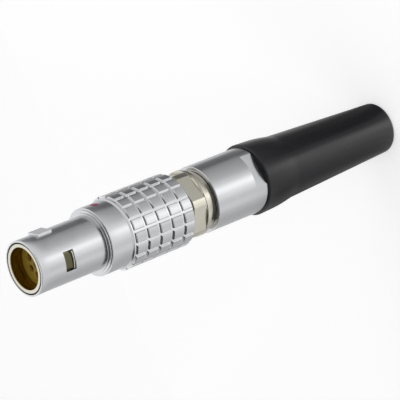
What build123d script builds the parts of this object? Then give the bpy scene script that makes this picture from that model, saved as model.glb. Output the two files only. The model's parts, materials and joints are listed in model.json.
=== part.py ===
"""Push-pull circular cable connector: plug with collet nut and bend relief.

The plug stands on its cable end. Z runs along the axis, with 0 in the plane of the mouth,
which faces up, and the alignment key faces -Y. A position named _at is a distance below the
mouth. All sizes are in millimetres.
"""

import os
from math import cos, radians, sin

from build123d import *

# Socket contacts: one on the axis, the others on a circle
contact_count = 7
contact_circle = 2.7
contact_recess = 0.2
contact_diameter = 0.84
contact_bore = 0.5
contact_bore_depth = 4.5
contact_tail = 3.1
cup_depth = 2.2
cup_opening = 1.4
contact_clearance = 0.03

# Insulator
insulator_wall = 0.28
insulator_length = 10.6
insulator_flange_height = 0.18
insulator_flange_length = 0.55
insert_clearance = 0.04

# Insert carriers, two half shells round the insulator
carrier_wall = 0.3
mouth_wall = 0.46
mouth_depth = 1.8
carrier_rim_length = 2.6
carrier_waist_margin = 0.15
wire_chamber_step = 0.38
carrier_foot_step = 0.37
carrier_foot_length = 2.0

# Latch sleeve: fingers and barrel
finger_flex = 0.36
finger_wall = 0.32
finger_gap = 0.15
finger_slot_width = 3.0
finger_slot_length = 6.4
tooth_length = 0.42
tooth_crest = 0.12
tooth_gap = 0.08
tooth_side_gap = 0.12
tooth_sunk = 0.08
barrel_wall = 0.42
running_clearance = 0.05
stop_clearance = 0.05

# Latch sleeve: ring with six flats, flange and neck, each measured from the ring's surface
ring_height = 0.79
ring_gap = 0.16
hex_flat_depth = 0.36
hex_length = 2.25
hex_angle = 46.7
hex_groove_width = 0.1
hex_groove_depth = 0.16
flange_drop = 0.04
flange_length = 0.82
neck_drop = 0.46
neck_taper_length = 0.36
neck_length = 0.42

# Outer shell: nose, key and latch windows
nose_wall = 0.35
nose_length = 9.8
rim_chamfer = 0.12
key_width = 2.0
key_start = 2.2
key_length = 2.0
key_height = 0.22
key_chamfer = 0.1
window_start = 3.7
window_length = 1.4
window_width = 2.45
window_corner = 0.15

# Outer shell: root steps, collar and grip
root_step_height = 0.25
root_step_length = 0.15
face_step_height = 0.35
face_step_length = 0.17
collar_height = 0.23
collar_length = 3.08
edge_chamfer = 0.06
grip_wall = 0.1
grip_rim_length = 0.42
rim_slope = 0.15
rear_chamfer = 0.15
block_rows = 5
block_columns = 18
block_length = 1.54
ring_groove_width = 0.4
axial_groove_width = 0.3
groove_depth = 0.22
shell_step_wall = 0.3
skirt_clearance = 0.2
skirt_side_clearance = 0.07

# Alignment dot on the middle of the collar
dot_diameter = 1.2
dot_depth = 0.25

# Clamping collet
collet_gap = 0.1
collet_foot_length = 1.73
collet_body_length = 2.9
collet_cone_length = 1.6
collet_end_wall = 0.3
collet_slots = 4
collet_slot_width = 0.35
collet_slot_start = 0.6
cone_clearance = 0.05

# Collet nut, as wide as the ring
nut_gap = 0.1
nut_length = 8.3
nut_chamfer = 0.12
flats_depth = 0.61
flats_length = 1.65
flats_angle = 58.0
thread_length = 5.85
thread_wall = 0.36
cone_drop = 0.19
tail_wall = 1.05
tail_length = 3.4
barb_height = 0.25
barb_start = 1.6
barb_length = 1.0

# Bend relief
relief_gap = 0.03
relief_length = 23.8
relief_bore_step = 0.25
lip_overhang = 0.33
lip_chamfer = 0.15
shoulder_overhang = 0.19
shoulder_length = 3.4
waist_drop = 0.16
waist_length = 2.1
relief_end_wall = 1.09
end_round = 0.45
fit_gap = 0.02

# Radii from the axis outwards, each from the one inside it
contact_radius = contact_diameter / 2
contact_hole_radius = contact_radius + contact_clearance
insulator_radius = contact_circle / 2 + contact_hole_radius + insulator_wall
cavity_radius = insulator_radius + insert_clearance
wire_chamber_radius = cavity_radius + wire_chamber_step
finger_bore_radius = cavity_radius + carrier_wall + finger_flex
finger_radius = finger_bore_radius + finger_wall
mouth_radius = finger_radius - mouth_wall
insulator_flange_radius = mouth_radius + insulator_flange_height
thread_bore_radius = finger_bore_radius + carrier_foot_step
thread_radius = thread_bore_radius - running_clearance
barrel_radius = thread_bore_radius + barrel_wall
ring_radius = barrel_radius + ring_height
nose_bore_radius = finger_radius + running_clearance
nose_radius = nose_bore_radius + nose_wall
root_step_radius = nose_radius + root_step_height
face_step_radius = root_step_radius + face_step_height
collar_radius = face_step_radius + collar_height
guide_bore_radius = barrel_radius + running_clearance
skirt_bore_radius = ring_radius + skirt_side_clearance
groove_floor_radius = skirt_bore_radius + grip_wall
grip_radius = groove_floor_radius + groove_depth
nut_radius = ring_radius
nut_bore_radius = thread_radius - thread_wall
cable_passage_radius = nut_bore_radius - cone_drop
collet_cone_end_radius = cable_passage_radius - cone_clearance
collet_bore_radius = collet_cone_end_radius - collet_end_wall
tail_radius = cable_passage_radius + tail_wall
relief_bore_radius = cable_passage_radius - relief_bore_step
lip_radius = nut_radius + lip_overhang
relief_end_radius = relief_bore_radius + relief_end_wall

# Positions below the mouth
face_step_at = nose_length + root_step_length
collar_at = face_step_at + face_step_length
grip_at = collar_at + collar_length
dot_at = collar_at + collar_length / 2
blocks_at = grip_at + grip_rim_length
block_pitch = block_length + ring_groove_width
grip_end_at = blocks_at + block_rows * block_pitch - ring_groove_width
window_end_at = window_start + window_length
slide_travel = window_length - tooth_length - tooth_gap
shell_step_at = collar_at + shell_step_wall
hex_at = grip_end_at + ring_gap
skirt_at = hex_at - slide_travel - skirt_clearance
hex_end_at = hex_at + hex_length
flange_at = hex_end_at + hex_groove_width
flange_end_at = flange_at + flange_length
neck_at = flange_end_at + neck_taper_length
sleeve_end_at = neck_at + neck_length
nut_at = sleeve_end_at + nut_gap
nut_end_at = nut_at + nut_length
thread_at = nut_at - thread_length
foot_end_at = thread_at - collet_gap
carrier_end_at = foot_end_at - collet_foot_length - collet_gap
carrier_seat = carrier_end_at - carrier_foot_length
cone_at = thread_at + collet_body_length
cone_end_at = cone_at + collet_cone_length
relief_at = nut_end_at + relief_gap
relief_end_at = relief_at + relief_length
finger_at = carrier_rim_length + finger_gap
finger_root_at = finger_at + finger_slot_length
insulator_end_at = mouth_depth + insulator_length
contact_at = mouth_depth + contact_recess
contact_end_at = insulator_end_at + contact_tail


def turn(*outline, mode=Mode.ADD):
    """Revolve a closed outline of (distance below the mouth, radius) points about the axis."""
    with BuildSketch(Plane.XZ) as section:
        with BuildLine():
            Polyline(*[(radius, -at) for at, radius in outline], close=True)
        make_face()
    revolve(section.sketch, axis=Axis.Z, mode=mode)


def tail_outline(grown=0.0):
    """Outside of the nut's barbed tail, from its shoulder to its end, grown by a clearance."""
    radius = tail_radius + grown
    barb_at = nut_end_at + barb_start
    return [(barb_at - grown, radius), (barb_at - grown, radius + barb_height),
            (barb_at + barb_length + grown, radius), (nut_end_at + tail_length + grown, radius)]


def finish(piece, label):
    """Name a finished piece and write its STEP file."""
    piece.part.label = label
    export_step(piece.part, f"parts/{label}.step")


os.makedirs("parts", exist_ok=True)

# Outer shell, turned from brass bar, with the key and windows milled and the grip cut into blocks
with BuildPart() as outer_shell:
    turn((0, nose_bore_radius), (0, nose_radius - rim_chamfer), (rim_chamfer, nose_radius),
         (nose_length, nose_radius), (nose_length, root_step_radius),
         (face_step_at, root_step_radius), (face_step_at, face_step_radius),
         (collar_at, face_step_radius), (collar_at, collar_radius - edge_chamfer),
         (collar_at + edge_chamfer, collar_radius), (grip_at, collar_radius),
         (grip_at + rim_slope, groove_floor_radius), (blocks_at, groove_floor_radius),
         (blocks_at, grip_radius),
         (grip_end_at - rear_chamfer, grip_radius), (grip_end_at, grip_radius - rear_chamfer),
         (grip_end_at, skirt_bore_radius), (skirt_at, skirt_bore_radius),
         (skirt_at, guide_bore_radius), (shell_step_at, guide_bore_radius),
         (shell_step_at, nose_bore_radius))
    with BuildSketch(Plane.XY.offset(-key_start)):
        with Locations((0, -nose_radius - key_height)):
            Rectangle(key_width, key_height + nose_wall - rim_chamfer,
                      align=(Align.CENTER, Align.MIN))
    extrude(amount=-key_length)
    key_top = faces().filter_by(Axis.Y).sort_by(Axis.Y)[0]
    chamfer(key_top.edges(), key_chamfer)
    with BuildSketch(Plane.YZ):
        with Locations((0, -window_start - window_length / 2)):
            RectangleRounded(window_width, window_length, window_corner)
    extrude(amount=2 * nose_radius, both=True, mode=Mode.SUBTRACT)
    with BuildSketch(Plane.XZ) as ring_grooves:
        with Locations(*[(grip_radius, ring_groove_width / 2 - blocks_at - row * block_pitch)
                         for row in range(1, block_rows)]):
            Rectangle(2 * groove_depth, ring_groove_width)
    revolve(ring_grooves.sketch, axis=Axis.Z, mode=Mode.SUBTRACT)
    with BuildSketch(Plane.XY.offset(-blocks_at)):
        with PolarLocations(grip_radius, block_columns, start_angle=-90):
            Rectangle(2 * groove_depth, axial_groove_width)
    extrude(amount=blocks_at - grip_end_at, mode=Mode.SUBTRACT)
    with BuildSketch(Plane.XZ.offset(collar_radius - dot_depth)):
        with Locations((0, -dot_at)):
            Circle(dot_diameter / 2)
    extrude(amount=2 * dot_depth, mode=Mode.SUBTRACT)
finish(outer_shell, "outer_shell")

# Alignment dot, red resin that fills the blind hole flush with the collar
with BuildPart() as alignment_dot:
    with BuildSketch(Plane.XZ.offset(collar_radius - dot_depth)):
        with Locations((0, -dot_at)):
            Circle(dot_diameter / 2)
    extrude(amount=2 * dot_depth)
    turn((collar_at, 0), (collar_at, collar_radius), (grip_at, collar_radius), (grip_at, 0),
         mode=Mode.INTERSECT)
finish(alignment_dot, "alignment_dot")

# Latch teeth: a ramp towards the mouth and a steep locking face towards the collar
with BuildPart() as latch_teeth:
    tooth_end_at = window_end_at - tooth_gap
    tooth_radius = nose_radius - tooth_sunk
    root_radius = finger_radius - finger_wall / 2
    turn((tooth_end_at - tooth_length, root_radius), (tooth_end_at - tooth_length, finger_radius),
         (tooth_end_at - tooth_crest, tooth_radius), (tooth_end_at, tooth_radius),
         (tooth_end_at, root_radius))
    with BuildSketch(Plane.YZ):
        with Locations((0, -window_start - window_length / 2)):
            Rectangle(window_width - 2 * tooth_side_gap, window_length)
    extrude(amount=2 * nose_radius, both=True, mode=Mode.INTERSECT)

# Latch sleeve: two spring fingers, the barrel that the shell slides on, hexagon, flange and neck
with BuildPart() as latch_sleeve:
    sleeve_shoulder_at = shell_step_at + slide_travel + stop_clearance
    turn((finger_at, finger_bore_radius), (finger_at, finger_radius),
         (sleeve_shoulder_at, finger_radius), (sleeve_shoulder_at, barrel_radius),
         (hex_at, barrel_radius), (hex_at, ring_radius), (hex_end_at, ring_radius),
         (hex_end_at, ring_radius - hex_groove_depth), (flange_at, ring_radius - hex_groove_depth),
         (flange_at, ring_radius - flange_drop), (flange_end_at, ring_radius - flange_drop),
         (neck_at, ring_radius - neck_drop), (sleeve_end_at, ring_radius - neck_drop),
         (sleeve_end_at, thread_bore_radius), (carrier_seat, thread_bore_radius),
         (carrier_seat, finger_bore_radius))
    with BuildSketch(Plane.XY.offset(-hex_at)):
        Circle(2 * ring_radius)
        RegularPolygon(ring_radius - hex_flat_depth, 6, major_radius=False, rotation=-hex_angle,
                       mode=Mode.SUBTRACT)
    extrude(amount=-hex_length, mode=Mode.SUBTRACT)
    with BuildSketch(Plane.XZ):
        with Locations((0, -finger_at)):
            Rectangle(finger_slot_width, finger_slot_length, align=(Align.CENTER, Align.MAX))
    extrude(amount=2 * nose_radius, both=True, mode=Mode.SUBTRACT)
    add(latch_teeth.part)
finish(latch_sleeve, "latch_sleeve")

# Insert carriers, two half shells round the insulator that meet in the plane of the windows
flange_seat_at = mouth_depth - insert_clearance
flange_seat_end_at = mouth_depth + insulator_flange_length + insert_clearance
flange_seat_radius = insulator_flange_radius + insert_clearance
waist_end_at = finger_root_at + carrier_waist_margin
for label, side in (("front_carrier", Keep.TOP), ("back_carrier", Keep.BOTTOM)):
    with BuildPart() as carrier:
        turn((0, mouth_radius), (0, finger_radius), (carrier_rim_length, finger_radius),
             (carrier_rim_length, cavity_radius + carrier_wall),
             (waist_end_at, cavity_radius + carrier_wall),
             (waist_end_at, finger_bore_radius - insert_clearance),
             (carrier_seat, finger_bore_radius - insert_clearance),
             (carrier_seat, thread_radius), (carrier_end_at, thread_radius),
             (carrier_end_at, wire_chamber_radius), (insulator_end_at, wire_chamber_radius),
             (insulator_end_at, cavity_radius), (flange_seat_end_at, cavity_radius),
             (flange_seat_end_at, flange_seat_radius), (flange_seat_at, flange_seat_radius),
             (flange_seat_at, mouth_radius))
        split(bisect_by=Plane.XZ, keep=side)
    finish(carrier, label)

# Insulator: flanged plastic block with a cavity for each contact
ring_places = contact_count - 1
contact_places = [(0, 0)] + [(contact_circle / 2 * sin(radians(360 / ring_places * place)),
                              contact_circle / 2 * -cos(radians(360 / ring_places * place)))
                             for place in range(ring_places)]
with BuildPart() as insulator:
    turn((mouth_depth, 0), (mouth_depth, insulator_flange_radius),
         (mouth_depth + insulator_flange_length, insulator_flange_radius),
         (mouth_depth + insulator_flange_length, insulator_radius),
         (insulator_end_at, insulator_radius), (insulator_end_at, 0))
    with BuildSketch(Plane.XY.offset(-mouth_depth)):
        with Locations(*contact_places):
            Circle(contact_hole_radius)
    extrude(amount=-insulator_length, mode=Mode.SUBTRACT)
finish(insulator, "insulator")

# Socket contact: a pin socket in front and an open solder cup behind
with BuildPart() as socket_contact:
    turn((contact_at, contact_bore / 2), (contact_at, contact_radius),
         (contact_end_at, contact_radius), (contact_end_at, contact_bore / 2),
         (contact_end_at - cup_depth, contact_bore / 2), (contact_end_at - cup_depth, 0),
         (contact_at + contact_bore_depth, 0), (contact_at + contact_bore_depth, contact_bore / 2))
    with BuildSketch(Plane.XZ):
        with Locations((0, -contact_end_at)):
            Rectangle(2 * contact_diameter, cup_opening, align=(Align.CENTER, Align.MIN))
    extrude(amount=contact_diameter, mode=Mode.SUBTRACT)

for number, place in enumerate(contact_places, start=1):
    with BuildPart() as contact:
        add(socket_contact.part.moved(Location((*place, 0))))
    finish(contact, f"contact_{number}")

# Clamping collet: its foot bears on the carriers and its slotted cone closes on the cable
with BuildPart() as clamping_collet:
    turn((carrier_end_at + collet_gap, collet_bore_radius),
         (carrier_end_at + collet_gap, thread_radius), (foot_end_at, thread_radius),
         (foot_end_at, nut_bore_radius - cone_clearance), (cone_at, nut_bore_radius - cone_clearance),
         (cone_end_at, collet_cone_end_radius), (cone_end_at, collet_bore_radius))
    with BuildSketch(Plane.XY.offset(-foot_end_at - collet_slot_start)):
        with PolarLocations(0, collet_slots):
            Rectangle(2 * thread_radius, collet_slot_width, align=(Align.MIN, Align.CENTER))
    extrude(amount=foot_end_at - cone_end_at, mode=Mode.SUBTRACT)
finish(clamping_collet, "clamping_collet")

# Collet nut: male thread in front, internal cone, two spanner flats and a barbed tail
with BuildPart() as collet_nut:
    turn((thread_at, nut_bore_radius), (thread_at, thread_radius), (nut_at, thread_radius),
         (nut_at, nut_radius - nut_chamfer), (nut_at + nut_chamfer, nut_radius),
         (nut_end_at - nut_chamfer, nut_radius), (nut_end_at, nut_radius - nut_chamfer),
         (nut_end_at, tail_radius), *tail_outline(),
         (nut_end_at + tail_length, cable_passage_radius), (cone_end_at, cable_passage_radius),
         (cone_at, nut_bore_radius))
    with BuildSketch(Plane.XY.offset(-nut_end_at)):
        Circle(2 * nut_radius)
        Rectangle(2 * (nut_radius - flats_depth), 4 * nut_radius, rotation=-90 - flats_angle,
                  mode=Mode.SUBTRACT)
    extrude(amount=flats_length, mode=Mode.SUBTRACT)
finish(collet_nut, "collet_nut")

# Bend relief: moulded sleeve with a rolled lip, a waist and a long taper, pushed on the tail
with BuildPart() as bend_relief:
    cavity = tail_outline(fit_gap)
    shoulder_at = relief_at + shoulder_length
    turn((relief_at, cavity[0][1]), (relief_at, lip_radius - lip_chamfer),
         (relief_at + lip_chamfer, lip_radius), (shoulder_at, nut_radius + shoulder_overhang),
         (shoulder_at + waist_length, nut_radius - waist_drop),
         (relief_end_at - end_round, relief_end_radius),
         (relief_end_at, relief_end_radius - end_round), (relief_end_at, relief_bore_radius),
         (cavity[-1][0], relief_bore_radius), *reversed(cavity))
finish(bend_relief, "bend_relief")
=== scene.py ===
"""Dresses a push-pull circular cable plug: satin chrome, warm nickel, gold and dark rubber.

The plug stands on its cable end with its mouth up at height zero and its key towards -Y.
Shapes are made in millimetres and scaled to metres when a piece is finished.
"""

import json
from math import cos, pi, radians, sin, tan

import bmesh
import bpy
from mathutils import Matrix, Vector


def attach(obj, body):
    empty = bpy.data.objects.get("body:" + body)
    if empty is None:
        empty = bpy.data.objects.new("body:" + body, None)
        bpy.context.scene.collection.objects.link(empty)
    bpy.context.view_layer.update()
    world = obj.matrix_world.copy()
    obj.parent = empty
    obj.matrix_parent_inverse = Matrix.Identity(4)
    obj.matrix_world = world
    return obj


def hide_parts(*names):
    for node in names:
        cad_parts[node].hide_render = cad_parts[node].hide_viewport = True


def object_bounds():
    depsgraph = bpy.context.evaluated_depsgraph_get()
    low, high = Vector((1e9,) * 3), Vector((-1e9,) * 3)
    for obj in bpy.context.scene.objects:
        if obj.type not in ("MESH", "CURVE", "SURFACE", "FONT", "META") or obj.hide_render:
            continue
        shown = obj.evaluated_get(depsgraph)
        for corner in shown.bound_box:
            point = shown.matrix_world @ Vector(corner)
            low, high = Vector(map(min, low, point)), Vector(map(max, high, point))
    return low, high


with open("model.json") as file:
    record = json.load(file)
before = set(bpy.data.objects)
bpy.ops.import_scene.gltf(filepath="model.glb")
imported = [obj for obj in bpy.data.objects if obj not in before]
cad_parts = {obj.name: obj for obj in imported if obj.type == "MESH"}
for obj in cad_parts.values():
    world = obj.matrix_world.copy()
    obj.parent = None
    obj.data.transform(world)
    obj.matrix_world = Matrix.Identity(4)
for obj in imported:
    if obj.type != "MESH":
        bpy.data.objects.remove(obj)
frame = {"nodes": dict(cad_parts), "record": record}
cad_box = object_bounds()
scene = bpy.context.scene
scene.view_settings.view_transform = "Standard"

# Camera: a long lens that looks down into the mouth from the side of the latch window.
# The picture is rolled, so that the plug lies across it with its mouth at the lower left.
view_right = Vector((-0.6460, 0.1610, -0.7460))
view_up = Vector((0.1095, -0.9480, -0.2995))
camera_place = Vector((-0.226271, -0.082232, 0.150367))
view_back = view_right.cross(view_up).normalized()
view_up = view_back.cross(view_right).normalized()
camera_data = bpy.data.cameras.new("camera")
camera_data.lens = 216
camera_data.sensor_width = 36
camera_data.clip_start = 0.01
camera = bpy.data.objects.new("camera", camera_data)
camera.matrix_world = (Matrix.Translation(camera_place)
                       @ Matrix((view_right.normalized(), view_up, view_back)).transposed().to_4x4())
scene.collection.objects.link(camera)
scene.camera = camera


# Outer shell: turned from brass bar and satin chromed, with a milled key and two latch
# windows in its nose, and a grip that ring and axial grooves cut into five rows of blocks.
millimetre = 0.001
nose_radius = 3.5
nose_bore = 3.15
mouth_bore = 3.27
mouth_step = (-0.9, -1.0)
rim_round = 0.1
root_step = (3.75, 0.15)
face_step = (4.1, 0.17)
nose_length = 9.8
collar_radius = 4.33
collar_length = 3.08
grip_radius = 4.75
groove_floor = 4.53
grip_rim = 0.42
rim_slope = 0.15
rear_chamfer = 0.15
block_rows = 5
block_columns = 18
block_length = 1.54
ring_groove = 0.4
skirt_radius = 4.43
skirt_top = 21.98
guide_radius = 3.62
guide_top = 10.42
key = {"half_width": 1.0, "top": -2.2, "bottom": -4.2, "face": -3.72}
window = {"half_width": 1.225, "top": -3.7, "bottom": -5.1, "corner": 0.15}
window_rim_chamfer = 0.07
key_round = 0.05
turns = 180
fine_round = 0.03
block_chamfer = 0.08
near = 0.01
snap = 1e-5


def section(outline, corner_segments=3, side=1):
    """A closed outline of (radius, height, corner radius) points in the XZ plane, as edges."""
    bm = bmesh.new()
    verts = [bm.verts.new((side * radius, 0, height)) for radius, height, _ in outline]
    for start, end in zip(verts, verts[1:] + verts[:1]):
        bm.edges.new((start, end))
    for vert, (_, _, corner) in zip(verts, outline):
        if corner:
            arms = [(edge.other_vert(vert).co - vert.co).normalized() for edge in vert.link_edges]
            setback = corner * tan((pi - arms[0].angle(arms[1])) / 2)
            bmesh.ops.bevel(bm, geom=[vert], offset=setback, offset_type="OFFSET", profile=0.5,
                            segments=corner_segments, affect="VERTICES", material=-1)
    return bm


def turned(outline, corner_segments=3):
    """Lathe a closed outline of (radius, height, corner radius) points about the Z axis."""
    bm = section(outline, corner_segments)
    bmesh.ops.spin(bm, geom=bm.verts[:] + bm.edges[:], cent=(0, 0, 0), axis=(0, 0, 1),
                   angle=2 * pi, steps=turns, use_merge=True)
    bmesh.ops.recalc_face_normals(bm, faces=bm.faces)
    return bm


def soften(bm, edges, size, segments=2):
    """Round a set of edges."""
    bmesh.ops.bevel(bm, geom=edges, offset=size, offset_type="OFFSET", segments=segments,
                    profile=0.5, affect="EDGES", clamp_overlap=True, material=-1)


def raise_faces(bm, faces):
    """Extrude faces in place of themselves and give the new edges and vertices."""
    geom = bmesh.ops.extrude_face_region(bm, geom=faces)["geom"]
    bmesh.ops.delete(bm, geom=faces, context="FACES_KEEP_BOUNDARY")
    return ([part for part in geom if isinstance(part, bmesh.types.BMEdge)],
            [part for part in geom if isinstance(part, bmesh.types.BMVert)])


def slice_faces(bm, faces, plane_co, plane_no):
    """Divide faces along a plane and leave them joined."""
    geom = faces + list({edge for face in faces for edge in face.edges}) \
        + list({vert for face in faces for vert in face.verts})
    bmesh.ops.bisect_plane(bm, geom=geom, dist=snap, plane_co=plane_co, plane_no=plane_no)


def finished(bm, name, finish, node, sharp=32):
    """Scale a mesh to metres, shade it, give it its finish and let it stand for its CAD node."""
    bmesh.ops.scale(bm, vec=(millimetre,) * 3, verts=bm.verts)
    mesh = bpy.data.meshes.new(name)
    bm.to_mesh(mesh)
    bm.free()
    mesh.shade_smooth()
    mesh.set_sharp_from_angle(angle=radians(sharp))
    mesh.materials.append(finish)
    piece = bpy.data.objects.new(name, mesh)
    scene.collection.objects.link(piece)
    flat_shading = piece.modifiers.new("weighted_normals", "WEIGHTED_NORMAL")
    flat_shading.keep_sharp = True
    flat_shading.weight = 90
    body = next(b for b, nodes in frame["record"]["behaviour"]["bodies"].items() if node in nodes)
    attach(piece, body)
    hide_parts(node)
    return piece


def new_group(name, inputs, outputs):
    """Start a shader node group with named sockets; each input is (name, kind, value)."""
    group = bpy.data.node_groups.new(name, "ShaderNodeTree")
    for socket, kind, value in inputs:
        made = group.interface.new_socket(name=socket, in_out="INPUT", socket_type=kind)
        made.default_value = value
    for socket, kind in outputs:
        group.interface.new_socket(name=socket, in_out="OUTPUT", socket_type=kind)
    return group, group.nodes.new("NodeGroupInput"), group.nodes.new("NodeGroupOutput")


def sums(tree, operation, first, second):
    """One Math node; each side is a number or another node's output."""
    node = tree.nodes.new("ShaderNodeMath")
    node.operation = operation
    for socket, value in zip(node.inputs, (first, second)):
        if isinstance(value, (int, float)):
            socket.default_value = value
        else:
            tree.links.new(value, socket)
    return node.outputs[0]


def off_axis(tree, axes):
    """Distance from the Z axis of a point that is given by its separate coordinates."""
    square = sums(tree, "ADD", sums(tree, "MULTIPLY", axes.outputs["X"], axes.outputs["X"]),
                  sums(tree, "MULTIPLY", axes.outputs["Y"], axes.outputs["Y"]))
    return sums(tree, "SQRT", square, 0.0)


def turned_surface_group():
    """Fine lathe marks that run round the axis, with soft cloudy changes in the sheen."""
    group, given, result = new_group(
        "turned_surface",
        [("Marks per mm", "NodeSocketFloat", 12.0), ("Mark depth", "NodeSocketFloat", 0.2),
         ("Roughness", "NodeSocketFloat", 0.3), ("Sheen change", "NodeSocketFloat", 0.1)],
        [("Roughness", "NodeSocketFloat"), ("Normal", "NodeSocketVector"), ("Cloud", "NodeSocketFloat")])
    place = group.nodes.new("ShaderNodeTexCoord").outputs["Object"]
    axes = group.nodes.new("ShaderNodeSeparateXYZ")
    group.links.new(place, axes.inputs[0])
    along = sums(group, "ADD", axes.outputs["Z"], off_axis(group, axes))
    per_metre = sums(group, "MULTIPLY", given.outputs["Marks per mm"], 1000.0)
    marks = group.nodes.new("ShaderNodeTexNoise")
    marks.noise_dimensions = "1D"
    marks.inputs["Scale"].default_value = 1.0
    marks.inputs["Detail"].default_value = 2.0
    group.links.new(sums(group, "MULTIPLY", along, per_metre), marks.inputs["W"])
    cloud = group.nodes.new("ShaderNodeTexNoise")
    cloud.inputs["Scale"].default_value = 450.0
    cloud.inputs["Detail"].default_value = 3.0
    group.links.new(place, cloud.inputs["Vector"])
    change = sums(group, "SUBTRACT", sums(group, "ADD", marks.outputs["Fac"], cloud.outputs["Fac"]), 1.0)
    rough = sums(group, "ADD", given.outputs["Roughness"],
                 sums(group, "MULTIPLY", change, given.outputs["Sheen change"]))
    bump = group.nodes.new("ShaderNodeBump")
    bump.inputs["Distance"].default_value = 0.000004
    group.links.new(given.outputs["Mark depth"], bump.inputs["Strength"])
    group.links.new(marks.outputs["Fac"], bump.inputs["Height"])
    group.links.new(rough, result.inputs["Roughness"])
    group.links.new(bump.outputs["Normal"], result.inputs["Normal"])
    group.links.new(cloud.outputs["Fac"], result.inputs["Cloud"])
    return group


turned_surface = turned_surface_group()


def reach_group():
    """Mask of 1 on what lies within a radius of the axis and below a height, otherwise 0."""
    group, given, result = new_group(
        "reach", [("Radius", "NodeSocketFloat", 0.003), ("Top", "NodeSocketFloat", 0.0)],
        [("Mask", "NodeSocketFloat")])
    axes = group.nodes.new("ShaderNodeSeparateXYZ")
    group.links.new(group.nodes.new("ShaderNodeTexCoord").outputs["Object"], axes.inputs[0])
    inside = sums(group, "LESS_THAN", off_axis(group, axes), given.outputs["Radius"])
    below = sums(group, "LESS_THAN", axes.outputs["Z"], given.outputs["Top"])
    group.links.new(sums(group, "MULTIPLY", inside, below), result.inputs["Mask"])
    return group


reach = reach_group()


def painted_light_inside(finish, radius, top, tone):
    """Paint light or shade into a plated metal: another tone within a radius and below a height, in
    millimetres.
    """
    tree = finish.node_tree
    base = tree.nodes["Principled BSDF"].inputs["Base Color"]
    mask = tree.nodes.new("ShaderNodeGroup")
    mask.node_tree = reach
    mask.inputs["Radius"].default_value = radius * millimetre
    mask.inputs["Top"].default_value = top * millimetre
    choice = tree.nodes.new("ShaderNodeMix")
    choice.data_type = "RGBA"
    choice.inputs["B"].default_value = (*tone, 1)
    tree.links.new(base.links[0].from_socket, choice.inputs["A"])
    tree.links.new(mask.outputs["Mask"], choice.inputs["Factor"])
    tree.links.new(choice.outputs["Result"], base)


def new_finish(name):
    """Start a material; gives it with its node tree and its shader."""
    finish = bpy.data.materials.new(name)
    finish.use_nodes = True
    return finish, finish.node_tree, finish.node_tree.nodes["Principled BSDF"]


def two_tones(tree, light, dark, share):
    """Base colour that drifts between two tones."""
    tones = tree.nodes.new("ShaderNodeMix")
    tones.data_type = "RGBA"
    tones.inputs["A"].default_value = (*dark, 1)
    tones.inputs["B"].default_value = (*light, 1)
    tree.links.new(share, tones.inputs["Factor"])
    tree.links.new(tones.outputs["Result"], tree.nodes["Principled BSDF"].inputs["Base Color"])


def plated(name, light, dark, roughness, marks=12.0, depth=0.08, change=0.1):
    """A plated metal: lathe marks, cloudy sheen and a slight drift between two tones."""
    finish, tree, shader = new_finish(name)
    shader.inputs["Metallic"].default_value = 1.0
    surface = tree.nodes.new("ShaderNodeGroup")
    surface.node_tree = turned_surface
    surface.inputs["Marks per mm"].default_value = marks
    surface.inputs["Mark depth"].default_value = depth
    surface.inputs["Roughness"].default_value = roughness
    surface.inputs["Sheen change"].default_value = change
    two_tones(tree, light, dark, surface.outputs["Cloud"])
    tree.links.new(surface.outputs["Roughness"], shader.inputs["Roughness"])
    tree.links.new(surface.outputs["Normal"], shader.inputs["Normal"])
    return finish


face_at = nose_length + root_step[1]
collar_at = face_at + face_step[1]
grip_at = collar_at + collar_length
blocks_at = grip_at + grip_rim
block_pitch = block_length + ring_groove
grip_end = blocks_at + block_rows * block_pitch - ring_groove
block_edges = [blocks_at + row * block_pitch + extra for row in range(block_rows)
               for extra in (0, block_length)][1:-1]
shell = turned(
    [(mouth_bore, 0, fine_round), (nose_radius, 0, rim_round), (nose_radius, key["top"], 0),
     (nose_radius, window["top"], 0), (nose_radius, key["bottom"], 0), (nose_radius, window["bottom"], 0),
     (nose_radius, -nose_length, 0), (root_step[0], -nose_length, fine_round),
     (root_step[0], -face_at, 0), (face_step[0], -face_at, fine_round), (face_step[0], -collar_at, 0),
     (collar_radius, -collar_at, 0.06), (collar_radius, -grip_at, 0),
     (groove_floor, -grip_at - rim_slope, fine_round), (groove_floor, -blocks_at, 0)]
    + [(groove_floor, -edge, 0) for edge in block_edges]
    + [(groove_floor, -grip_end, 0), (skirt_radius, -grip_end, fine_round),
       (skirt_radius, -skirt_top, 0), (guide_radius, -skirt_top, 0), (guide_radius, -guide_top, 0),
       (nose_bore, -guide_top, 0), (nose_bore, window["bottom"], 0), (nose_bore, window["top"], 0),
       (nose_bore, mouth_step[1], 0), (mouth_bore, mouth_step[0], 0)])
half_groove = pi / 90
pitch = 2 * pi / block_columns


def off_groove(point):
    """Angle between a point and the nearest axial groove's middle; one groove lies at -Y."""
    turn = (point.to_2d().angle_signed(Vector((0, -1)))) % pitch
    return min(turn, pitch - turn)


def in_block(face):
    """Whether a face of the groove floor lies under a block."""
    middle = face.calc_center_median()
    on_floor = abs(middle.to_2d().length - groove_floor) < near
    in_row = -grip_end < middle.z < -blocks_at and (-middle.z - blocks_at) % block_pitch < block_length
    return on_floor and in_row and off_groove(middle) > half_groove


def block_rims(lowest, highest):
    """The sharp outer edges of the blocks between two heights."""
    return [edge for edge in shell.edges
            if len(edge.link_faces) == 2 and edge.is_convex and edge.calc_face_angle(0) > radians(50)
            and all(vert.co.to_2d().length > grip_radius - near for vert in edge.verts)
            and all(lowest < vert.co.z < highest for vert in edge.verts)]


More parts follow.
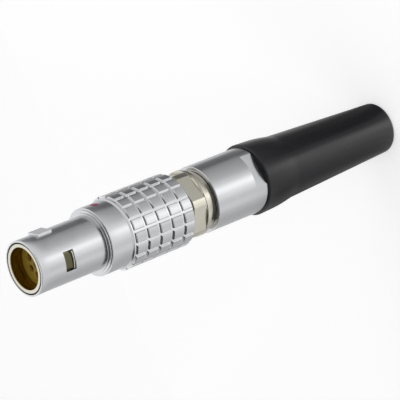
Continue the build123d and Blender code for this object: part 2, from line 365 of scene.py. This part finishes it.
_, raised_verts = raise_faces(shell, [face for face in shell.faces if in_block(face)])
stretch = grip_radius / groove_floor
bmesh.ops.scale(shell, vec=(stretch, stretch, 1), verts=raised_verts)
soften(shell, block_rims(-grip_end - near, -grip_end + near), rear_chamfer, 1)
soften(shell, block_rims(-grip_end + 2 * near, -blocks_at + near), block_chamfer, 1)

sliced = {"top": -1.0, "bottom": key["bottom"] - 1.5}
for side in (-1, 1):
    for plane_co, plane_no in (((0, side * window["half_width"], 0), (0, 1, 0)),
                               ((side * key["half_width"], 0, 0), (1, 0, 0))):
        slice_faces(shell, [face for face in shell.faces
                            if sliced["bottom"] < face.calc_center_median().z < sliced["top"]],
                    plane_co, plane_no)


def within(face, low, high, axis, half_width):
    """Whether a face lies between two heights and within half a width of the plane of symmetry."""
    middle = face.calc_center_median()
    return low < middle.z < high and abs(middle[axis]) < half_width


key_faces = [face for face in shell.faces
             if within(face, key["bottom"], key["top"], 0, key["half_width"])
             and face.calc_center_median().y < -nose_bore - 0.1]
raised_edges, raised_verts = raise_faces(shell, key_faces)
for vert in raised_verts:
    vert.co.y = key["face"]
bmesh.ops.dissolve_limit(shell, angle_limit=radians(0.5), verts=raised_verts, edges=raised_edges)
soften(shell, [edge for edge in shell.edges
               if all(abs(vert.co.y - key["face"]) < 1e-4 and vert.co.z > -5 for vert in edge.verts)
               and edge.calc_face_angle(0) > radians(40)], key_round, 2)

for side in (-1, 1):
    gone = [face for face in shell.faces
            if within(face, window["bottom"], window["top"], 1, window["half_width"])
            and side * face.calc_center_median().x > 1]
    bmesh.ops.delete(shell, geom=gone, context="FACES")
    rims = [edge for edge in shell.edges if edge.is_boundary]
    bmesh.ops.bridge_loops(shell, edges=rims)
corners = [edge for edge in shell.edges
           if all(abs(abs(vert.co.y) - window["half_width"]) < 1e-3 for vert in edge.verts)
           and abs(edge.verts[0].co.z - edge.verts[1].co.z) < 1e-4
           and edge.calc_length() > 0.2 and edge.calc_face_angle(0) > radians(60)]
soften(shell, corners, window["corner"], 4)
window_rims = [edge for edge in shell.edges
               if all(abs(vert.co.y) < window["half_width"] + near
                      and vert.co.to_2d().length > nose_radius - near
                      and window["bottom"] - near < vert.co.z < window["top"] + near
                      for vert in edge.verts)
               and edge.calc_face_angle(0) > radians(60) and abs(edge.verts[0].co.x) > 2.8]
soften(shell, window_rims, window_rim_chamfer, 1)
bmesh.ops.recalc_face_normals(shell, faces=shell.faces)
satin_chrome = plated("satin_chrome", (0.57, 0.575, 0.59), (0.53, 0.535, 0.55), 0.22)
# Painted highlight: the grip's groove floors and walls, and everything deeper inside the shell below the
# collar, get a lighter chrome colour so that the grooves reflect brighter.
groove_highlight_depth = 0.07
painted_light_inside(satin_chrome, grip_radius - groove_highlight_depth, -grip_at - rim_slope, (0.68, 0.68, 0.69))
finished(shell, "shell", satin_chrome, "outer_shell")


# Alignment dot: a drop of red resin that fills a blind hole in the collar, in line with
# the key, and stands a hair proud of the chrome.
dot_radius = 0.68
dot_middle = -11.66
dot_proud = 0.03
dot_half_depth = 0.12
dot = bmesh.new()
bmesh.ops.create_uvsphere(dot, u_segments=48, v_segments=24, radius=1)
bmesh.ops.scale(dot, vec=(dot_radius, dot_half_depth, dot_radius), verts=dot.verts)
bmesh.ops.translate(dot, vec=(0, dot_half_depth - collar_radius - dot_proud, dot_middle), verts=dot.verts)


def coloured(name, light, dark, roughness, grain, depth, smudge=0.05):
    """A plastic, resin or rubber: two close tones, a fine grain and lengthwise smudges in its sheen."""
    finish, tree, shader = new_finish(name)
    place = tree.nodes.new("ShaderNodeTexCoord").outputs["Object"]
    drawn_out = tree.nodes.new("ShaderNodeMapping")
    drawn_out.inputs["Scale"].default_value = (1, 1, 0.1)
    smudges = tree.nodes.new("ShaderNodeTexNoise")
    smudges.inputs["Scale"].default_value = 700.0
    smudges.inputs["Detail"].default_value = 3.0
    tree.links.new(place, drawn_out.inputs["Vector"])
    tree.links.new(drawn_out.outputs["Vector"], smudges.inputs["Vector"])
    uneven = sums(tree, "MULTIPLY", sums(tree, "SUBTRACT", smudges.outputs["Fac"], 0.5), smudge)
    tree.links.new(sums(tree, "ADD", uneven, roughness), shader.inputs["Roughness"])
    specks = tree.nodes.new("ShaderNodeTexNoise")
    specks.inputs["Scale"].default_value = grain * 1000
    specks.inputs["Detail"].default_value = 4.0
    tree.links.new(place, specks.inputs["Vector"])
    two_tones(tree, light, dark, specks.outputs["Fac"])
    bump = tree.nodes.new("ShaderNodeBump")
    bump.inputs["Strength"].default_value = depth
    bump.inputs["Distance"].default_value = 0.00001
    tree.links.new(specks.outputs["Fac"], bump.inputs["Height"])
    tree.links.new(bump.outputs["Normal"], shader.inputs["Normal"])
    return finish


red_resin = coloured("red_resin", (0.27, 0.03, 0.06), (0.20, 0.02, 0.05), 0.35, 4, 0.2)
finished(dot, "red_dot", red_resin, "alignment_dot")


# Latch sleeve: one turned nickel-plated piece that carries the shell on its barrel, with two
# milled spring fingers, a ring with six spanner flats, a flange and a neck.
def sharp_rims(bm):
    """The outer corners of a mesh."""
    return [edge for edge in bm.edges
            if len(edge.link_faces) == 2 and edge.is_convex and edge.calc_face_angle(0) > radians(30)]


def from_frame(node, round_size=0.0):
    """A merged copy of a CAD node's mesh in millimetres, with its sharp edges softened."""
    bm = bmesh.new()
    bm.from_mesh(frame["nodes"][node].data)
    bmesh.ops.scale(bm, vec=(1 / millimetre,) * 3, verts=bm.verts)
    bmesh.ops.remove_doubles(bm, verts=bm.verts, dist=0.0005)
    bmesh.ops.dissolve_limit(bm, angle_limit=radians(0.3), verts=bm.verts, edges=bm.edges)
    if round_size:
        soften(bm, sharp_rims(bm), round_size)
    return bm


def mill_flat(bm, angle, distance, above, bottom, top):
    """Mill a flat: what stands proud of a plane beyond a radius, between two heights, is cut to it."""
    out = Vector((cos(radians(angle)), sin(radians(angle)), 0))
    slice_faces(bm, [face for face in bm.faces if bottom < face.calc_center_median().z < top
                     and face.calc_center_median().to_2d().length > above - 0.06],
                out * distance, out)
    for vert in bm.verts:
        proud = vert.co.dot(out) - distance
        if proud > 0 and bottom < vert.co.z < top and vert.co.to_2d().length > above:
            vert.co -= out * proud


warm_nickel = plated("warm_nickel", (0.59, 0.57, 0.49), (0.53, 0.51, 0.43), 0.18)
sleeve = from_frame("latch_sleeve")
barrel_end = -22.5
bmesh.ops.bisect_plane(sleeve, geom=sleeve.verts[:] + sleeve.edges[:] + sleeve.faces[:], dist=snap,
                       plane_co=(0, 0, barrel_end), plane_no=(0, 0, -1), clear_outer=True)
bmesh.ops.bridge_loops(sleeve, edges=[edge for edge in sleeve.edges if edge.is_boundary])
soften(sleeve, sharp_rims(sleeve), fine_round)
ring_radius = 4.36
ring_top = -23.33
ring_overlap = 0.1
thread_bore = 3.17
barrel_radius = 3.55
ring_groove_radius = 4.2
flange = {"radius": 4.32, "top": -25.43, "bottom": -25.95}
neck = {"radius": 3.82, "top": -26.2, "bottom": -27.03}
hexagon = {"distance": 4.0, "bottom": -25.33, "angle": -16.7, "above": 4.25}
ring = turned(
    [(thread_bore, barrel_end + ring_overlap, 0), (barrel_radius, barrel_end + ring_overlap, 0),
     (barrel_radius, ring_top, 0), (ring_radius, ring_top, fine_round),
     (ring_radius, hexagon["bottom"], fine_round), (ring_groove_radius, hexagon["bottom"], 0),
     (ring_groove_radius, flange["top"], 0), (flange["radius"], flange["top"], fine_round),
     (flange["radius"], flange["bottom"], 0.05), (neck["radius"], neck["top"], 0.05),
     (neck["radius"], neck["bottom"], fine_round), (thread_bore, neck["bottom"], fine_round)])
for side in range(6):
    mill_flat(ring, hexagon["angle"] + 60 * side, hexagon["distance"], hexagon["above"],
              hexagon["bottom"] - near, ring_top + near)
bmesh.ops.dissolve_degenerate(ring, dist=snap, edges=ring.edges)
bmesh.ops.recalc_face_normals(ring, faces=ring.faces)
ring_mesh = bpy.data.meshes.new("ring")
ring.to_mesh(ring_mesh)
ring.free()
sleeve.from_mesh(ring_mesh)
bpy.data.meshes.remove(ring_mesh)
# Painted shade: the spring fingers and the sleeve's inside within this radius are darkened to a dark olive,
# where the shell's wall shades them.
finger_painted_shade = {"radius": 3.34, "top": -2.7}
painted_light_inside(warm_nickel, finger_painted_shade["radius"], finger_painted_shade["top"], (0.11, 0.105, 0.06))
finished(sleeve, "sleeve", warm_nickel, "latch_sleeve")


# Insert carriers: two nickel-plated half shells that hold the insulator. Their front rims
# close the mouth inside the nose. Their bore, which shows in the mouth, has painted shade:
# it is darkened to a dark gold-brown.
rim_nickel = plated("rim_nickel", (0.60, 0.58, 0.50), (0.54, 0.52, 0.44), 0.22)
mouth_radius = 2.64
# Painted shade: the carriers' bore within this radius is darkened to a dark gold-brown.
mouth_painted_shade = {"radius": 2.68, "top": 1}
painted_light_inside(rim_nickel, mouth_painted_shade["radius"], mouth_painted_shade["top"], (0.30, 0.20, 0.03))
front_end = {"radius": 3.1, "bottom": -2.6}
waist_radius = 2.42
body = {"radius": 2.74, "top": -9.3}
foot = {"radius": 3.1, "top": -17.35, "bottom": -19.35}
wire_chamber = {"radius": 2.5, "top": -12.4}
cavity_radius = 2.12
flange_seat = {"radius": 2.86, "top": -1.76, "bottom": -2.39}
carrier_outline = [
    (mouth_radius, 0, 0.12), (front_end["radius"], 0, 0.06),
    (front_end["radius"], front_end["bottom"], fine_round), (waist_radius, front_end["bottom"], fine_round),
    (waist_radius, body["top"], 0), (body["radius"], body["top"], fine_round),
    (body["radius"], foot["top"], 0), (foot["radius"], foot["top"], fine_round),
    (foot["radius"], foot["bottom"], 0.05), (wire_chamber["radius"], foot["bottom"], 0.05),
    (wire_chamber["radius"], wire_chamber["top"], 0), (cavity_radius, wire_chamber["top"], fine_round),
    (cavity_radius, flange_seat["bottom"], 0), (flange_seat["radius"], flange_seat["bottom"], 0),
    (flange_seat["radius"], flange_seat["top"], 0), (mouth_radius, flange_seat["top"], 0)]
for node, side in (("front_carrier", -1), ("back_carrier", 1)):
    half = section(carrier_outline, side=side)
    profile = bmesh.ops.contextual_create(half, geom=half.edges[:])["faces"]
    bmesh.ops.spin(half, geom=profile, cent=(0, 0, 0), axis=(0, 0, 1), angle=pi, steps=turns // 2)
    bmesh.ops.recalc_face_normals(half, faces=half.faces)
    finished(half, node, rim_nickel, node)


# Insulator: a moulded block of tan plastic with one cavity for each contact. Only its front
# face shows, as the floor of the mouth.
tan_plastic = coloured("tan_plastic", (0.40, 0.27, 0.03), (0.32, 0.21, 0.025), 0.4, 6, 0.3)
finished(from_frame("insulator", fine_round), "insulator_block", tan_plastic, "insulator")


# Contacts: seven gold-plated sockets that are pushed into the insulator from behind, each
# with an open solder cup at its end.
gold_plate = plated("gold_plate", (0.60, 0.43, 0.15), (0.48, 0.33, 0.10), 0.25, 20.0, 0.15)
contact_count = 7
contact_round = 0.015
for number in range(1, contact_count + 1):
    node = f"contact_{number}"
    finished(from_frame(node, contact_round), f"socket_{number}", gold_plate, node)


# Clamping collet: a slotted nickel-plated ring with a cone that closes on the cable when
# the nut is screwed home.
collet_round = 0.02
collet_nickel = plated("collet_nickel", (0.58, 0.55, 0.46), (0.52, 0.49, 0.40), 0.3)
finished(from_frame("clamping_collet", collet_round), "collet", collet_nickel, "clamping_collet")


# Collet nut: turned brass, satin chromed, with two milled spanner flats next to the bend
# relief, a thread in front and a barbed tail behind, both out of sight until it is unscrewed.
nut_top = -27.13
nut_length = 8.3
nut_bottom = nut_top - nut_length
nut_radius = 4.36
nut_chamfer = 0.08
flats = {"distance": 3.75, "top": nut_bottom + 1.9, "angle": 58.0}
thread_top = nut_top + 5.85
thread_radius = 3.1
thread_core = 2.84
thread_pitch = 0.5
nut_bore = 2.74
cone = (thread_top - 2.9, thread_top - 4.5)
passage = 2.55
tail = {"radius": 3.6, "bottom": nut_bottom - 3.4, "barb": 3.85, "barb_top": nut_bottom - 1.6,
        "barb_bottom": nut_bottom - 2.6}
nut = turned(
    [(nut_bore, thread_top, fine_round), (thread_core, thread_top, 0.05), (thread_core, nut_top, 0),
     (nut_radius - nut_chamfer, nut_top, fine_round), (nut_radius, nut_top - nut_chamfer, fine_round),
     (nut_radius, flats["top"], 0), (nut_radius, flats["top"] - 0.02, 0),
     (nut_radius, nut_bottom + nut_chamfer, 0), (nut_radius - nut_chamfer, nut_bottom, 0),
     (tail["radius"], nut_bottom, 0), (tail["radius"], tail["barb_top"], 0),
     (tail["barb"], tail["barb_top"], fine_round), (tail["radius"], tail["barb_bottom"], 0),
     (tail["radius"], tail["bottom"], 0.1), (passage, tail["bottom"], 0.1), (passage, cone[1], 0),
     (nut_bore, cone[0], 0)])
for side in (0, 180):
    mill_flat(nut, side - 90 - flats["angle"], flats["distance"], tail["radius"] + 0.1,
              nut_bottom - near, flats["top"] - near)
bmesh.ops.dissolve_degenerate(nut, dist=snap, edges=nut.edges)
thread_turns = 11
round_steps = 48
thread_lead_in = 0.1
ridge_root = thread_core - 0.02
ridge_outline = ((ridge_root, 0.02), (thread_radius, 0.2), (thread_radius, 0.28), (ridge_root, 0.46))
ridge = nut.faces.new([nut.verts.new((radius, 0, thread_top - thread_lead_in - drop))
                       for radius, drop in ridge_outline])
bmesh.ops.spin(nut, geom=[ridge], cent=(0, 0, 0), axis=(0, 0, 1), angle=2 * pi * thread_turns,
               dvec=(0, 0, -thread_pitch / round_steps), steps=thread_turns * round_steps)
bmesh.ops.recalc_face_normals(nut, faces=nut.faces)
nut_chrome = plated("nut_chrome", (0.57, 0.575, 0.59), (0.53, 0.535, 0.55), 0.22)
finished(nut, "nut", nut_chrome, "collet_nut", 24)


# Bend relief: moulded in dark rubber, pushed over the nut's barbed tail. It has a rolled lip,
# a soft waist and a long straight taper to a rounded end.
relief_top = nut_bottom - 0.03
relief_length = 23.8
relief_bottom = relief_top - relief_length
lip = {"radius": 4.69, "round": 0.2}
shoulder = {"radius": 4.55, "height": relief_top - 3.4, "round": 16.0}
waist = {"radius": 4.2, "height": relief_top - 5.5, "round": 5.0}
end = {"radius": 3.39, "round": 0.45}
cable_bore = 2.3
fit_gap = 0.02
socket = tail["radius"] + fit_gap
socket_end = tail["bottom"] - fit_gap
relief = turned(
    [(socket, relief_top, 0), (lip["radius"], relief_top, lip["round"]),
     (shoulder["radius"], shoulder["height"], shoulder["round"]),
     (waist["radius"], waist["height"], waist["round"]), (end["radius"], relief_bottom, end["round"]),
     (cable_bore, relief_bottom, 0.15), (cable_bore, socket_end, 0), (socket, socket_end, 0),
     (socket, tail["barb_bottom"], 0), (tail["barb"] + fit_gap, tail["barb_top"], 0),
     (socket, tail["barb_top"], 0)], corner_segments=8)
relief_rubber = coloured("relief_rubber", (0.014, 0.014, 0.016), (0.009, 0.009, 0.011), 0.3, 8, 0.4, 0.5)
relief_rubber.node_tree.nodes["Principled BSDF"].inputs["Specular IOR Level"].default_value = 0.36
finished(relief, "relief", relief_rubber, "bend_relief", 40)


# Floor and light: a plain white floor under the cable end, a white surround and soft lamps. Two
# printed discs, a dark screen and a white card are seen by reflections only, and give the bands.
floor_height = cad_box[0][2]
floor_size = 4.0


def unseen_by(thing, *rays):
    """Hide an object from some kinds of rays."""
    for ray in rays:
        setattr(thing, "visible_" + ray, False)


def stage_sheet(name, bm, paint):
    """A piece of the studio, kept out of the object."""
    data = bpy.data.meshes.new(name)
    bm.to_mesh(data)
    bm.free()
    data.materials.append(paint)
    sheet = bpy.data.objects.new(name, data)
    scene.collection.objects.link(sheet)
    return sheet


def seen_directly(tree):
    """1 for rays that come from the camera, a mirror-like surface or glass, otherwise 0."""
    rays = tree.nodes.new("ShaderNodeLightPath")
    mirrored = sums(tree, "MAXIMUM", rays.outputs["Is Glossy Ray"], rays.outputs["Is Transmission Ray"])
    return sums(tree, "MAXIMUM", rays.outputs["Is Camera Ray"], mirrored)


floor_paint, tree, paint = new_finish("floor_paint")
paint.inputs["Base Color"].default_value = (0.82, 0.82, 0.82, 1)
paint.inputs["Roughness"].default_value = 0.8
paint.inputs["Emission Color"].default_value = (1, 1, 1, 1)
tree.links.new(sums(tree, "MULTIPLY", seen_directly(tree), 0.45), paint.inputs["Emission Strength"])
floor_mesh = bmesh.new()
bmesh.ops.create_grid(floor_mesh, x_segments=1, y_segments=1, size=floor_size / 2)
bmesh.ops.translate(floor_mesh, vec=(0, 0, floor_height), verts=floor_mesh.verts)
stage_sheet("floor", floor_mesh, floor_paint)

facing_camera = 200
screen_distance = 0.4
unseen = ("camera", "diffuse", "shadow", "volume_scatter")


def glowing(name, strength):
    """A plain card that gives light of its own; its colour and strength can be printed on."""
    paint = bpy.data.materials.new(name)
    paint.use_nodes = True
    tree = paint.node_tree
    tree.nodes.clear()
    glow = tree.nodes.new("ShaderNodeEmission")
    glow.inputs["Strength"].default_value = strength
    output = tree.nodes.new("ShaderNodeOutputMaterial")
    tree.links.new(glow.outputs["Emission"], output.inputs["Surface"])
    return paint, tree, glow


def floor_print(name, radius, lift, bands):
    """A disc on the floor, printed with bands of light by azimuth from the camera's side."""
    strongest = max(strength for _, strength in bands)
    paint, tree, glow = glowing(name, strongest)
    place = tree.nodes.new("ShaderNodeTexCoord").outputs["Object"]
    faced = tree.nodes.new("ShaderNodeMapping")
    faced.inputs["Rotation"].default_value = (0, 0, radians(360 - facing_camera))
    around = tree.nodes.new("ShaderNodeTexGradient")
    around.gradient_type = "RADIAL"
    ramp = tree.nodes.new("ShaderNodeValToRGB")
    ramp.color_ramp.interpolation = "EASE"
    stops = ramp.color_ramp.elements
    for index, (azimuth, strength) in enumerate(bands):
        spot = azimuth / 360 + 0.5
        stop = stops[index] if index < 2 else stops.new(spot)
        stop.position = spot
        stop.color = (strength / strongest,) * 3 + (1,)
    tree.links.new(place, faced.inputs["Vector"])
    tree.links.new(faced.outputs["Vector"], around.inputs["Vector"])
    tree.links.new(around.outputs["Fac"], ramp.inputs["Fac"])
    tree.links.new(ramp.outputs["Color"], glow.inputs["Color"])
    disc = bmesh.new()
    bmesh.ops.create_circle(disc, cap_ends=True, segments=96, radius=radius)
    bmesh.ops.translate(disc, vec=(0, 0, floor_height + lift), verts=disc.verts)
    unseen_by(stage_sheet(name, disc, paint), *unseen)


def curtain(name, first, last, heights, paint):
    """An upright screen round the plug between two azimuths from the camera's side."""
    bm = bmesh.new()
    ends = [bm.verts.new((screen_distance, 0, height)) for height in heights]
    pole = bm.edges.new(ends)
    bmesh.ops.rotate(bm, verts=ends, cent=(0, 0, 0),
                     matrix=Matrix.Rotation(radians(facing_camera + first), 3, "Z"))
    bmesh.ops.spin(bm, geom=[pole], cent=(0, 0, 0), axis=(0, 0, 1), angle=radians(last - first), steps=48)
    unseen_by(stage_sheet(name, bm, paint), *unseen)


floor_print("metal_reflector", 0.14, 0.0002,
            [(-180, 0.90), (-160, 0.95), (-145, 0.62), (-100, 0.64), (-80, 0.78), (-60, 1.06),
             (-40, 0.92), (-22, 1.20), (0, 1.72), (18, 1.05), (40, 0.70), (60, 0.56), (80, 0.44),
             (95, 0.17), (118, 0.22), (140, 0.74), (160, 0.80), (180, 0.90)])
floor_print("relief_reflector", 0.032, 0.0004,
            [(-180, 0.30), (-140, 0.20), (-120, 0.34), (-80, 0.35), (-60, 0.55), (-40, 0.90),
             (-20, 1.40), (0, 2.30), (20, 0.60), (40, 0.12), (60, 0.10), (80, 0.20), (100, 0.15),
             (120, 0.60), (140, 0.80), (180, 0.50)])
curtain("dark_screen", -115, 45, (0.12, 0.45), glowing("dark_cloth", 0.06)[0])
curtain("bright_card", 130, 230, (0.08, 0.65), glowing("white_card", 1.25)[0])

world = bpy.data.worlds.new("surround")
scene.world = world
world.use_nodes = True
tree = world.node_tree
sky = tree.nodes["Background"]
sky.inputs["Color"].default_value = (1, 1, 1, 1)
ambient = 0.5
tree.links.new(sums(tree, "MAXIMUM", seen_directly(tree), ambient), sky.inputs["Strength"])

lamps = {"front": ((-0.30, -0.10, 0.12), 0.25, 0.25), "side": ((0.05, -0.35, 0.10), 0.25, 0.25)}
middle = Vector((0, 0, (cad_box[0][2] + cad_box[1][2]) / 2))
for name, (place, size, power) in lamps.items():
    lamp_data = bpy.data.lights.new(name, "AREA")
    lamp_data.size = size
    lamp_data.energy = power
    lamp = bpy.data.objects.new(name, lamp_data)
    lamp.location = place
    lamp.rotation_euler = (Vector(place) - middle).to_track_quat("Z", "Y").to_euler()
    unseen_by(lamp, "camera", "glossy")
    scene.collection.objects.link(lamp)
